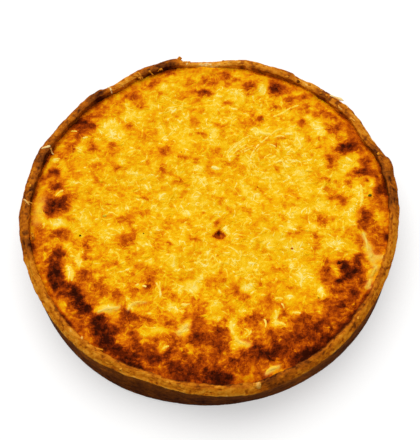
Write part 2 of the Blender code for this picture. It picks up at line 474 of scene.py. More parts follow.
# Two points on the axis, which never show, close the case under its base and over the pocket's floor.
points = np.concatenate([in_space(r, angle, z), [[0, 0, z[0, 0]], [0, 0, z[0, -1]]]])
pole_bake = [0.4, 0.5]
under, over = len(points) - 2, len(points) - 1
this = np.arange(ROUND) * len(steps)
following = np.roll(this, -1)
poles = np.concatenate(
    [
        np.stack([np.full(ROUND, under), following, this], 1),
        np.stack([np.full(ROUND, over), this, following], 1) + [0, len(steps) - 1, len(steps) - 1],
    ]
)
crust = new_piece(
    "shortcrust_case",
    points,
    net(ROUND, len(steps)),
    poles,
    shortcrust,
    "shortcrust",
    browning=np.append(browning.ravel(), pole_bake),
)
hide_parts("pastry_case")

# ---------------------------------------------------------------- the cheese filling
# Egg and cream set under a thick layer of grated cheese. The cheese has melted into a lumpy skin that
# is cream and yellow in the middle and browns to orange and near black towards the edge, most of all
# along the front, where it bubbled up into blisters.
EDGE_REACH = 0.8 * MM  # the fine surface runs this far into the pastry, so that no gap shows

filling_sections = sections("cheese_filling")
high_up = filling_sections[0, :, 1] > 0.85 * filling_sections[0, :, 1].max()
top_sections = filling_sections[:, np.argmax(high_up) :]  # without the bottom and the side
top_rings = round_the_turn(top_sections, ROUND)  # from the edge inwards
edge_radius = top_rings[:, 0, 0]
ring_share = (top_sections[..., 0] / top_sections[:, :1, 0]).mean(axis=0)[::-1]
ring_level = top_rings[:, ::-1, 1]
middle_level = ring_level[:, 0].mean()
ring_share = np.r_[0, ring_share]
ring_level = np.c_[np.full(ROUND, middle_level), ring_level]


def edge_at(angle):
    """The filling's radius in these directions."""
    return np.interp(angle, directions, edge_radius, period=TURN)


def level(x, y):
    """The solid's top: read between its rings and its directions, straight from one to the next."""
    angle = np.arctan2(y, x) % TURN
    share = np.minimum(np.hypot(x, y) / edge_at(angle), 1)
    ring = np.interp(share, ring_share, np.arange(len(ring_share)))
    ring_low = np.minimum(ring.astype(int), len(ring_share) - 2)
    ring_part = ring - ring_low
    turn = angle / TURN * ROUND
    turn_low = turn.astype(int) % ROUND
    turn_part = turn - turn.astype(int)
    turn_high = (turn_low + 1) % ROUND
    inner, outer = (
        ring_level[turn_low, near] * (1 - turn_part) + ring_level[turn_high, near] * turn_part
        for near in (ring_low, ring_low + 1)
    )
    return inner * (1 - ring_part) + outer * ring_part


# Where the oven caught the cheese: millimetres right, millimetres back, half its width and half its
# depth in millimetres, and how dark it went. They run round the quiche from the right, then inwards.
BROWNED = (
    # right
    (106, -3, 5.5, 6.5, 0.78), (105, 4, 3, 4, 0.50), (118, 8, 3, 4, 0.45), (118, 20, 4, 5, 0.84),
    (114, 15, 3, 3, 0.34), (84, 15, 5, 3, 0.56), (91, 11, 4, 5, 0.54), (81, 20, 3, 2, 0.39),
    (82, 27, 3, 3, 0.47), (96, 26, 2, 2, 0.45), (109, 27, 1.5, 1.5, 0.62), (106, 34, 6, 4, 0.78),
    (109, 42, 4, 5, 0.65), (113, 33, 4, 4, 0.50), (98, 31, 5, 3, 0.31), (86, 40, 5, 5, 0.47),
    (84, 46, 4, 4, 0.54), (93, 53, 6, 5, 0.96), (99, 55, 5, 4, 0.74), (105, 53, 4, 4, 0.56),
    (114, 48, 4, 6, 0.50), (119, 33, 3, 9, 0.45), (77, -5, 3, 3, 0.47), (65, -3, 4, 3, 0.31),
    (74, 1, 5, 3, 0.20), (85, -2, 3, 2, 0.22), (102, -20, 4, 5, 0.50), (98, -15, 3, 4, 0.22),
    (114, -21, 6, 9, 0.28), (72, -23, 4, 3, 0.31), (73, -17, 4, 3, 0.22), (119, -16, 3, 3, 0.69),
    (60, 12, 2, 2, 0.34), (56, 15, 6, 5, 0.18),
    # back right
    (97, 73, 5, 5, 0.50), (88, 68, 4, 4, 0.56), (83, 73, 4, 3, 0.47), (86, 81, 6, 4, 0.49),
    (77, 82, 4, 3, 0.50), (95, 80, 5, 5, 0.29), (94, 66, 6, 4, 0.25), (65, 74, 4, 4, 0.54),
    (66, 86, 6, 4, 0.38), (68, 97, 4, 3, 0.54), (59, 94, 7, 3, 0.52), (64, 107, 4, 4, 0.81),
    (53, 104, 6, 5, 0.54), (47, 105, 5, 6, 0.69), (46, 105, 3, 3, 0.56), (47, 112, 4, 3, 0.39),
    (79, 90, 4, 3, 0.39), (102, 61, 4, 5, 0.47), (77, 61, 1.5, 2, 0.39), (47, 56, 3, 2, 0.31),
    # back
    (29, 107, 5, 5, 0.58), (28, 99, 3, 2, 0.47), (36, 78, 3, 2.5, 0.58), (34, 74, 4, 3, 0.34),
    (25, 75, 6, 4, 0.36), (19, 112, 4, 3, 0.47), (11, 116, 4, 5, 0.56), (28, 117, 3, 2, 0.34),
    (2, 109, 5, 4, 0.50), (-5, 101, 6, 4, 0.74), (-8, 95, 3, 3, 0.34), (-5, 110, 4, 3, 0.34),
    (-15, 110, 4, 5, 0.36), (-11, 121, 6, 3, 0.34), (12, 92, 4, 2.5, 0.34), (47, 88, 4, 3, 0.29),
    (-11, 75, 4, 5, 0.40), (-5, 65, 4, 3, 0.34), (9, 68, 2, 3, 0.29), (1, 52, 7, 4, 0.29),
    (-9, 56, 3, 3, 0.25), (-22, 97, 6, 4, 0.29), (-12, 100, 5, 4, 0.22), (-28, 119, 5, 4, 0.56),
    (3, 46, 8, 5, 0.18),
    # back left
    (-55, 98, 6, 3.5, 0.58), (-50, 91, 4, 4, 0.49), (-67, 93, 5, 5, 0.29), (-66, 84, 6, 4, 0.29),
    (-80, 82, 8, 3, 0.47), (-76, 88, 4, 3, 0.31), (-85, 73, 5, 4, 0.82), (-91, 77, 5, 4, 0.84),
    (-93, 66, 7, 6, 0.63), (-97, 55, 4, 4, 0.58), (-83, 54, 3, 4, 0.49), (-69, 57, 4, 3, 0.49),
    (-68, 51, 4, 4, 0.43), (-73, 46, 6, 5, 0.20), (-58, 72, 4, 3, 0.36), (-55, 66, 5, 3, 0.22),
    (-44, 64, 7, 4, 0.40), (-31, 52, 4, 4, 0.63), (-40, 49, 5, 4, 0.18), (-45, 106, 6, 4, 0.27),
    (-38, 112, 6, 4, 0.22), (-104, 48, 4, 4, 0.34), (-98, 39, 4, 3, 0.31), (-78, 38, 7, 5, 0.18),
    (-94, 30, 4, 3, 0.20),
    # left
    (-108, 35, 4, 4, 0.78), (-106, 23, 5, 3, 0.76), (-108, 29, 3, 3, 0.34), (-117, 27, 4, 5, 0.34),
    (-112, 14, 4, 5, 0.50), (-106, 8, 7, 6, 0.86), (-100, 13, 5, 5, 0.62), (-110, 4, 4, 6, 0.50),
    (-100, 4, 4, 5, 0.34), (-102, -14, 6, 4, 0.65), (-101, -24, 4, 4, 0.34), (-102, -29, 5, 4, 0.74),
    (-105, -36, 5, 4, 0.78), (-117, -18, 5, 9, 0.29), (-118, -9, 5, 3, 0.22), (-83, -24, 2.5, 3, 0.56),
    (-83, -32, 4, 2, 0.36), (-58, -19, 7, 5, 0.56), (-52, -17, 3, 4, 0.36), (-58, -2, 7, 3, 0.42),
    (-44, 13, 2.5, 2.5, 0.47), (-62, 12, 4, 4, 0.22), (-46, 4, 5, 4, 0.22), (-90, 20, 9, 4, 0.18),
    (-82, 11, 2, 1.5, 0.29), (-33, 20, 3.5, 2.5, 0.36), (-62, -37, 4, 3, 0.27), (-47, -39, 4, 3, 0.27),
    # front left
    (-104, -44, 6, 6, 1.00), (-103, -53, 4, 4, 1.00), (-96, -52, 5, 4, 0.67), (-90, -57, 5, 4, 0.90),
    (-87, -62, 5, 5, 1.00), (-82, -69, 6, 4, 1.00), (-91, -66, 4, 4, 0.47), (-99, -60, 4, 3, 0.45),
    (-74, -77, 5, 5, 1.00), (-72, -84, 6, 6, 1.00), (-67, -92, 5, 6, 1.00), (-63, -86, 3, 6, 0.54),
    (-60, -99, 6, 5, 0.90), (-53, -104, 5, 3, 0.84), (-48, -107, 4, 2, 0.67), (-59, -82, 4, 6, 0.40),
    (-52, -76, 5, 4, 0.67), (-56, -71, 3, 4, 0.48), (-61, -61, 5, 5, 0.46), (-50, -57, 4, 4, 0.43),
    (-41, -54, 4, 4, 0.63), (-75, -52, 6, 4, 0.47), (-74, -58, 8, 4, 0.40), (-80, -45, 5, 4, 0.34),
    (-87, -44, 3, 5, 0.34), (-38, -44, 6, 6, 0.40), (-43, -97, 6, 4, 0.45), (-39, -101, 4, 4, 0.49),
    (-49, -93, 5, 4, 0.34), (-86, -84, 4, 5, 0.49), (-85, -75, 4, 4, 0.34), (-46, -77, 6, 4, 0.19),
    (-31, -56, 5, 5, 0.27), (-26, -78, 6, 5, 0.25), (-38, -104, 6, 4, 0.34),
    # front
    (-22, -113, 6, 5, 0.70), (-13, -113, 6, 6, 0.66), (-28, -108, 4, 3, 0.34), (-12, -91, 5, 4, 0.54),
    (-6, -91, 6, 5, 0.55), (4, -94, 6, 5, 0.44), (-7, -83, 5, 7, 0.45), (-8, -72, 4, 7, 0.48),
    (-14, -75, 3, 3, 0.39), (-4, -105, 5, 4, 0.40), (8, -99, 6, 4, 0.34), (3, -118, 6, 4, 1.00),
    (13, -118, 7, 3.5, 1.00), (-2, -112, 5, 4, 0.46), (6, -112, 5, 4, 0.44), (17, -110, 4, 5, 0.76),
    (25, -105, 6, 5, 0.25), (24, -116, 5, 3, 0.34), (28, -79, 4, 5, 0.50), (20, -80, 3, 4, 0.34),
    (16, -71, 3, 4, 0.34), (17, -56, 3, 4, 0.45), (22, -62, 4, 4, 0.47), (-1, -53, 2, 4, 0.34),
    (6, -50, 5, 3, 0.27), (1, -86, 6, 4, 0.29), (10, -88, 4, 4, 0.29), (-26, -92, 6, 4, 0.19),
    (30, -93, 6, 4, 0.19),
    # front right
    (31, -99, 6, 4, 0.77), (38, -103, 6, 4, 1.00), (43, -97, 5, 5, 0.77), (40, -90, 4, 5, 0.34),
    (50, -97, 5, 5, 0.56), (57, -106, 5, 4, 0.92), (62, -102, 5, 4, 1.00), (67, -99, 5, 3, 1.00),
    (74, -94, 4, 4, 0.67), (56, -91, 6, 5, 0.50), (58, -81, 6, 5, 0.59), (64, -77, 6, 3, 0.48),
    (68, -85, 6, 5, 0.69), (63, -91, 7, 4, 0.54), (76, -79, 6, 4, 0.47), (86, -83, 3, 5, 0.69),
    (78, -90, 5, 3, 0.62), (91, -75, 3, 4, 0.47), (85, -67, 7, 4, 0.63), (76, -66, 5, 3, 0.34),
    (90, -40, 3.5, 5, 1.00), (96, -43, 5, 3.5, 1.00), (86, -50, 5, 3, 0.96), (87, -36, 4, 2, 0.78),
    (99, -37, 3, 5, 0.69), (92, -47, 4, 3, 0.84), (100, -32, 4, 4, 0.56), (78, -38, 4, 6, 0.52),
    (77, -45, 4, 5, 0.56), (100, -50, 4, 4, 0.63), (97, -58, 5, 5, 0.58), (88, -57, 8, 6, 0.34),
    (92, -65, 5, 4, 0.38), (42, -52, 5, 4, 0.27), (39, -62, 4, 6, 0.25), (45, -41, 3, 2, 0.31),
    (47, -86, 6, 4, 0.23), (50, -103, 5, 4, 0.34), (82, -73, 6, 4, 0.27), (44, -68, 6, 3, 0.19),
    # middle
    (2, -20, 9, 5, 0.13), (-12, -14, 6, 5, 0.14), (12, -26, 6, 4, 0.12), (6, -7, 3, 3, 0.14),
    (4, -1, 6, 2.5, 0.18), (0, -2, 3, 2, 0.22), (5, -6, 2, 3, 0.22), (13, 2, 3, 4, 0.29),
    (7, 10, 3, 3, 0.25), (28, -10, 4, 3, 0.27), (36, 6, 4, 3, 0.22), (50, 9, 3, 4, 0.22),
    (22, 36, 3, 3, 0.27), (4, 33, 5, 2, 0.27), (-23, 27, 6, 3, 0.18), (-17, -5, 6, 4, 0.18),
    (-33, -24, 4, 3, 0.25), (-26, -22, 3, 2, 0.22), (36, -4, 5, 3, 0.16), (18, -24, 4, 3, 0.16),
    (-33, 36, 4, 5, 0.18), (-45, -8, 7, 6, 0.13), (6, 72, 3, 2, 0.22),
)
# Where it stayed pale, in the same measures.
PALE = (
    (78, 72, 5, 6, 0.9), (80, 66, 4, 2, 0.8), (72, 79, 2, 3, 0.6), (38, 104, 3, 4, 0.9),
    (95, 45, 6, 4, 0.5), (97, 38, 6, 5, 0.7), (103, 48, 2, 3, 0.7), (87, 37, 1.5, 1.5, 1.0),
    (112, 26, 3, 4, 0.7), (103, 20, 3, 6, 0.6), (101, 10, 4, 6, 0.6), (95, 1, 5, 6, 0.7),
    (76, 7, 6, 3, 0.5), (97, -25, 4, 5, 0.40), (86, -22, 8, 4, 0.6), (104, -17, 2.5, 4, 0.45),
    (107, -25, 2.5, 5, 0.45), (109, -32, 3, 4.5, 0.45), (111, -38, 2, 4, 0.35), (107, -47, 2, 6, 0.35),
    (70, -9, 3, 2, 0.8), (56, -26, 8, 5, 0.5), (52, -11, 2, 3, 0.7), (42, -19, 7, 5, 0.4),
    (64, 3, 5, 5, 0.3), (67, 24, 8, 6, 0.3), (64, 34, 5, 4, 0.6), (63, 60, 4, 5, 0.6),
    (37, 67, 6, 3, 0.7), (55, 66, 5, 2, 0.6), (63, -48, 9, 9, 0.5), (74, -56, 3, 5, 1.0),
    (54, -61, 3, 1.5, 1.0), (45, -81, 5, 2.5, 0.75), (43, -74, 2, 5, 0.6), (57, -73, 4, 2, 0.7),
    (24, -55, 4, 3, 0.9), (15, -84, 3, 8, 0.8), (18, -93, 2.5, 4, 0.7), (23, -95, 4, 2, 0.7),
    (24, -87, 2, 4, 0.7), (22, -71, 3, 2.5, 0.7), (4, -67, 4, 3, 0.7), (3, -76, 5, 2, 0.6),
    (-11, -54, 4, 4, 0.9), (-20, -56, 3, 4, 0.7), (-17, -85, 2.5, 5, 0.85), (-14, -79, 2, 3, 0.9),
    (-24, -69, 3, 4, 0.7), (-17, -67, 2.5, 1, 0.9), (-35, -85, 7, 3, 0.8), (-67, -69, 6, 1.8, 1.0),
    (-73, -71, 3, 2.5, 0.9), (-53, -68, 2, 3, 0.9), (-46, -53, 4, 1.8, 0.9), (-34, -54, 2, 6, 0.6),
    (-75, -46, 1.8, 1.8, 1.0), (-94, -43, 3, 6, 0.9), (-97, -68, 2.5, 5, 0.6), (-43, -93, 3, 1.5, 0.7),
    (-31, -98, 3, 3, 0.5), (-103, -5, 5, 4, 0.9), (-112, -4, 4, 2, 0.7), (-116, 6, 4, 7, 0.7),
    (-104, 18, 2, 3, 1.0), (-86, -2, 5, 8, 0.5), (-88, -34, 2, 6, 0.7), (-97, -21, 3, 3, 0.6),
    (-75, -36, 3, 2, 0.6), (-40, -36, 4, 3, 0.7), (-24, -33, 3, 7, 0.6), (-46, -16, 3, 3, 0.5),
    (-68, -15, 8, 6, 0.3), (-62, 5, 5, 3, 0.5), (-44, 22, 3, 3, 0.6), (-32, 16, 4, 3, 0.6),
    (-38, 2, 3, 5, 0.4), (-16, 2, 2.5, 3, 0.8), (-7, 11, 5, 5, 0.4), (-4, 29, 3, 3, 0.7),
    (-7, 37, 4, 1.5, 0.6), (4, 37, 3, 1.6, 1.0), (-53, 34, 9, 4, 0.4), (-85, 24, 4, 4, 0.4),
    (-103, 36, 2, 4, 0.6), (-109, 45, 4, 1.5, 0.8), (-92, 53, 2, 3, 0.6), (-88, 62, 2.5, 2.5, 0.9),
    (-98, 68, 3, 1.5, 0.8), (-69, 70, 8, 7, 0.6), (-72, 75, 3, 2, 0.6), (-58, 83, 6, 4, 0.7),
    (-34, 106, 3, 3, 0.7), (-39, 92, 5, 4, 0.4), (-34, 65, 3, 6, 0.6), (-31, 61, 2, 1.5, 1.0),
    (-26, 86, 2, 2, 0.8), (6, 98, 4, 1.5, 0.8), (17, 87, 3, 1.2, 0.9), (21, 96, 7, 7, 0.4),
    (3, 65, 3, 4, 0.7), (12, -12, 2, 4, 0.6), (16, -27, 3, 4, 0.5), (26, -38, 6, 4, 0.5),
    (24, 19, 5, 4, 0.4), (-2, -38, 4, 2, 0.6),
)


def mottled(x, y, *layers, about=0.0):
    """Unevenness over the flat cheese: `about`, and each (share, size in millimetres, seed) added."""
    flat = np.stack([x, y, 0 * x], -1)
    return sum((share * unevenness(flat, size * MM, seed) for share, size, seed in layers), about)


def patches(x, y, places):
    """How strongly each point lies in patches: bells whose edges wander, merged as overlapping stains.

    Each bell is exp(-0.8 away^1.3), away being squared distance over squared half size. Stains merge
    by what they leave clear: 1 - product of (1 - strength x bell).
    """
    wander_x = MM * mottled(x, y, (1.8, 7, 41), (1.0, 2.8, 42))
    wander_y = MM * mottled(x, y, (1.8, 7, 43), (1.0, 2.8, 44))
    x, y = x + wander_x, y + wander_y
    clear = np.ones_like(x)
    for right, back, half_wide, half_deep, strength in places:
        away = ((x / MM - right) / half_wide) ** 2 + ((y / MM - back) / half_deep) ** 2
        near = away < 6  # further out nothing is left of the bell
        clear[near] *= 1 - strength * np.exp(-0.8 * away[near] ** 1.3)
    return 1 - clear


# How dark the cheese is at the rim's foot, all the way round, its browning and the painted shade under the
# rim together: direction in degrees and browning.
FOOT_BAKE_AND_SHADE = (
    (0, 0.58), (5, 0.58), (8, 0.84), (11, 0.82), (13, 0.62), (17, 0.62), (19, 0.72), (22, 0.50),
    (25, 0.52), (28, 0.62), (33, 0.70), (37, 0.56), (45, 0.56), (52, 0.52), (57, 0.52), (59, 0.66),
    (61, 0.50), (68, 0.50), (74, 0.50), (84, 0.50), (89, 0.54), (95, 0.46), (101, 0.50), (104, 0.74),
    (107, 0.56), (118, 0.54), (123, 0.52), (132, 0.56), (137, 0.60), (141, 0.84), (145, 0.66),
    (152, 0.58), (160, 0.54), (169, 0.58), (176, 0.54), (188, 0.54), (191, 0.62), (196, 0.54),
    (204, 0.58), (210, 0.66), (214, 0.58), (221, 0.60), (229, 0.60), (233, 0.78), (240, 0.84),
    (245, 0.98), (249, 0.80), (253, 0.66), (257, 0.72), (260, 0.84), (267, 0.86), (271, 0.98),
    (275, 0.92), (278, 0.54), (283, 0.58), (287, 0.62), (290, 0.40), (293, 0.66), (297, 0.84),
    (301, 1.02), (305, 0.90), (310, 0.80), (326, 0.80), (330, 0.62), (337, 0.54), (341, 0.46),
    (344, 0.44), (347, 0.60), (350, 0.64), (352, 0.88), (355, 0.60),
)

# Where it melted down to cream and never browned, first the run that crept up the rim at the right:
# from right and back, to right and back, half width, all in millimetres, and how creamy.
CREAMY = (
    (104, -14, 107, -26, 1.0, 0.8), (107, -25, 110, -34, 2.0, 0.9), (110, -32, 117.5, -33, 1.8, 1.0),
    (110, -35, 111, -41, 1.6, 0.9), (109, -43, 105, -54, 1.2, 0.8), (-73, -71.5, -60, -68.8, 1.3, 0.9),
    (-53.8, -70.6, -50.8, -66, 1.0, 0.8), (-50.6, -65.4, -43, -65, 1.0, 0.7),
    (-20, -86.5, -15, -82, 1.8, 0.8), (36.5, -114.3, 43.5, -110.7, 1.2, 0.9),
    (18, -93, 25, -95, 1.5, 0.5), (-116, 12, -118, -4, 3.0, 0.25),
)


def creamy(x, y):
    """How creamy the cheese is: a bell across each run, as wide as the run, broken up by noise.

    Noise first moves the places by a millimetre or so, so that no edge is straight.
    """
    breaks = mottled(x, y, (0.8, 2.5, 79), about=0.8)
    moved_x = mottled(x, y, (1.2, 4, 77), about=x / MM)
    moved_y = mottled(x, y, (1.2, 3, 78), about=y / MM)
    x, y = moved_x, moved_y
    most = 0 * x
    for from_x, from_y, to_x, to_y, half, strength in CREAMY:
        long_x, long_y = to_x - from_x, to_y - from_y
        share = np.clip(((x - from_x) * long_x + (y - from_y) * long_y) / (long_x**2 + long_y**2), 0, 1)
        away = np.hypot(x - from_x - share * long_x, y - from_y - share * long_y)
        most = np.maximum(most, strength * np.exp(-((away / half) ** 2)))
    return most * np.clip(breaks, 0, 1)


def sink_hole(x, y):
    """The one hole where steam came up: a rounded triangle, and the deep core left of its middle.

    From the level of its corners up, the outline is where width / 4.7 and rise / 5.2, each to the
    power 1.25, add up to 1, and below it is half an ellipse 2.5 deep, all in millimetres. The core
    is a bell 1.1 wide and 1.5 deep, 2.3 above the corners.
    """
    wide, deep = np.abs(x / MM - 6.5), y / MM + 15.9
    outline = np.where(
        deep > 0,
        (wide / 4.7) ** 1.25 + (np.abs(deep) / 5.2) ** 1.25,
        (wide / 4.7) ** 2 + (deep / 2.5) ** 2,
    )
    core = np.exp(-(((x / MM - 6.1) / 1.1) ** 2) - ((deep - 2.3) / 1.5) ** 2)
    return ease(-outline, -1.25, -0.75), core


def big_blister(x, y):
    """The one wide, low blister: a dome, and the pale crescent at its foot in front.

    The dome falls as 1 - (away / 7.5)^2, and the crescent, a painted highlight, is a bell 1.4 wide at 7 from
    the middle, let through on the near side only, all in millimetres.
    """
    wide, deep = x / MM - 21, y / MM + 111
    away = mottled(x, y, (1.2, 5, 69), about=np.hypot(wide, deep))
    crescent = np.exp(-(((away - 7) / 1.4) ** 2)) * ease(-deep + 0.4 * wide, -3, 4)
    return np.maximum(1 - (away / 7.5) ** 2, 0), crescent


def browned(x, y):
    """The browning of the cheese: a slow rise to the edge, most in front, patches, and fine mottling.

    Each later step moves the value towards that of burnt, pale or creamy cheese, or of the rim's foot in
    that direction, by as much as the point lies in the patch: value + share x (new - value). The dents'
    browning is painted shade, the rim's foot and the dark line along it hold painted shade as well as
    browning, and the big blister's pale crescent is a painted highlight.
    """
    angle = np.arctan2(y, x)
    share = np.hypot(x, y) / edge_at(angle)
    front = (0.5 - 0.5 * np.sin(angle)) ** 2
    rise = ease(share, 0.5, 1.0) * (0.04 + 0.17 * front) + 0.12 * front * ease(share, 0.3, 0.7)
    rise = rise + 0.05 * ease(share, 0.84, 0.95) + 0.03 * bump(angle, 180, 50) * ease(share, 0.2, 0.4)
    coarse = mottled(x, y, (0.05, 20, 51), (0.14, 7.5, 52))
    coarse = coarse + 0.14 * ease(mottled(x, y, (1, 6, 58)), 0.15, 0.6)
    fine = mottled(x, y, (0.08, 4.5, 53), (0.05, 2.2, 54))
    fine = fine - 0.17 * ease(mottled(x, 1.6 * y, (1, 3, 59)), 0.1, 0.5)
    # Painted shade: the relief's own dents are a little browner.
    painted_dent_shade = mottled(x, y, (-0.05, 3.6, 63))  # the relief's own dents are a little browner
    plain, pale, burnt, cream, in_hole = 0.37, 0.09, 0.93, 0.3, 0.78
    value = plain + rise + coarse + fine + painted_dent_shade
    dark = patches(x, y, BROWNED)
    value = value + patches(x, y, PALE) * (1 - 0.5 * dark) * (pale - value)
    clots = mottled(x, y, (0.8, 3.2, 55), (0.5, 1.6, 56))
    value = value + dark * (burnt + 0.09 * dark + 0.16 * clots - value)
    dome, crescent = big_blister(x, y)
    value = value + 0.6 * dome**0.5 * (0.70 + 0.1 * clots - value)
    # Painted highlight: the pale crescent at the big blister's foot.
    value = value + 0.8 * crescent * (0.5 + 0.1 * clots - value)
    # The rim's foot: browning, and painted shade under the rim.
    foot_directions, tones = np.array(FOOT_BAKE_AND_SHADE).T
    foot = np.interp(np.degrees(angle) % 360, foot_directions, tones, period=360)
    foot = mottled(x, y, (0.16, 4.5, 57), (0.16, 2, 60), about=foot)
    at_foot = ease(mottled(x, y, (0.016, 5, 68), about=share), 0.958, 0.985)
    value = value + 0.8 * at_foot * (foot - value)
    # The dark line at the rim's foot, on the cheese: partly burnt fat, partly painted shadow of the rim.
    value = value + 0.9 * burnt_and_shadow_line(angle) * ease(share, 0.98, 0.992) * (1.0 - value)
    value = value + creamy(x, y) * (cream + 0.1 * clots - value)
    pit, core = sink_hole(x, y)
    return value + pit * (in_hole - value) + core * 0.35


def relief(x, y):
    """How far the melted skin stands over the solid's top: lumps, blisters and the sink hole.

    Where it meets the case it creeps up the pastry, here and there to the rim's inner edge. The
    heights are added up in millimetres.
    """
    angle = np.arctan2(y, x)
    share = np.hypot(x, y) / edge_at(angle)
    lumps = mottled(x, y, (0.42, 17, 61), (0.30, 7.5, 62), (0.16, 3.6, 63), (0.05, 1.8, 64))
    dark = patches(x, y, BROWNED)
    blisters = 0.7 * dark * mottled(x, y, (0.5, 3, 65), about=1) * ease(-share, -0.985, -0.93)
    pit, core = sink_hole(x, y)
    sunk = -0.6 * pit - 1.2 * core + 0.9 * big_blister(x, y)[0]
    creep = np.maximum(mottled(x, y, (1.0, 9, 66), (0.7, 4, 67), about=0.7), 0)
    creep = creep + 1.9 * bump(angle, 91, 7) + 0.5 * bump(angle, 57, 4) + 0.9 * bump(angle, 343, 4)
    return MM * (lumps + blisters + sunk + 0.5 * creamy(x, y) + creep * ease(share, 0.95, 1))


# The top is a square net bent round, so that no face is a sliver: squares about the middle become
# circles, and each side of a square becomes a quarter of its circle.
SIDE = 300
even = np.linspace(-1, 1, SIDE)
u, v = np.meshgrid(even, even, indexing="ij")
wide = np.abs(u) > np.abs(v)
share = np.where(wide, np.abs(u), np.abs(v))
safe_u, safe_v = np.where(u == 0, 1, u), np.where(v == 0, 1, v)
eighth = TURN / 8
angle = np.where(
    wide,
    eighth * v / safe_u + np.where(u < 0, TURN / 2, 0),
    TURN / 4 - eighth * u / safe_v + np.where(v < 0, TURN / 2, 0),
)
beyond = EDGE_REACH * (1 + 1.6 * bump(angle, 91, 6))  # further where the rim sags at the back
reach = share * (edge_at(angle % TURN) + beyond * ease(share, 0.9, 1))
x, y = (reach * np.cos(angle)).ravel(), (reach * np.sin(angle)).ravel()
top = np.stack([x, y, level(x, y) + relief(x, y)], -1)

index = np.arange(SIDE * SIDE).reshape(SIDE, SIDE)
quads = np.stack([index[:-1, :-1], index[1:, :-1], index[1:, 1:], index[:-1, 1:]], -1).reshape(-1, 4)
border = np.concatenate([index[:-1, 0], index[-1, :-1], index[:0:-1, -1], index[0, :0:-1]])
# The side goes down inside the case in two rings, a little narrower each time, to a fan at the floor.
floor_of_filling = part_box("cheese_filling")[0].z
NARROWER = 0.03
rings = [border]
layers = [top]
count = len(top)
for part in (0.5, 1.0):
    ring = top[border] * [1 - NARROWER * part, 1 - NARROWER * part, 1]
    ring[:, 2] += (floor_of_filling - ring[:, 2]) * part
    layers.append(ring)
    rings.append(np.arange(count, count + len(ring)))
    count += len(ring)
layers.append([[0, 0, floor_of_filling]])
for high, low in zip(rings, rings[1:]):
    quads = np.concatenate([quads, np.stack([high, low, np.roll(low, -1), np.roll(high, -1)], 1)])
last = rings[-1]
fan = np.stack([np.full(len(last), count), np.roll(last, -1), last], 1)
points = np.concatenate(layers)

baked_cheese = baked_material(
    "baked_cheese",
    (
        (0.00, shade(254, 233, 140)),
        (0.12, shade(252, 217, 88)),
        (0.24, shade(249, 201, 34)),
        (0.34, shade(244, 187, 3)),
        (0.44, shade(241, 167, 0)),
        (0.54, shade(232, 137, 0)),
        (0.64, shade(210, 100, 0)),
        (0.76, shade(164, 62, 0)),
        (0.88, shade(108, 32, 0)),
        (1.00, shade(54, 12, 0)),
    ),
    roughness=(0.42, 0.62),
    grain=(400.0, 1100.0, 0.0002),
    fleck=0.32,
    gloss=0.02,
)
# A second point layer, `cream`, draws the colour towards that of melted cheese that never browned.
CREAM_SHARE = 0.7
cheese_tree = baked_cheese.node_tree
creamed = add(
    cheese_tree,
    "MixRGB",
    ("Fac", add(cheese_tree, "Attribute", attribute_name="cream").outputs["Fac"]),
    ("Color1", cheese_tree.nodes["Color Ramp"].outputs["Color"]),
    ("Color2", shade(226, 186, 98)),
)
feed(cheese_tree, cheese_tree.nodes["Principled BSDF"], ("Base Color", creamed.outputs["Color"]))
filling = new_piece(
    "melted_cheese",
    points,
    quads,
    fan,
    baked_cheese,
    "baked_cheese",
    browning=browned(points[:, 0], points[:, 1]),
    cream=CREAM_SHARE * creamy(points[:, 0], points[:, 1]),
)
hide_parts("cheese_filling")

# ---------------------------------------------------------------- the shreds in the cheese
# Grated cheese that kept its shape: flattened strands, half sunk in the skin at every angle. Each is a tube
# along a bending line that follows the surface, with ends that taper away. The long ones that stayed pale
# are laid one by one, and so are the few that fell on the rim.


FLATNESS = 0.5  # a strand's height as a share of its width


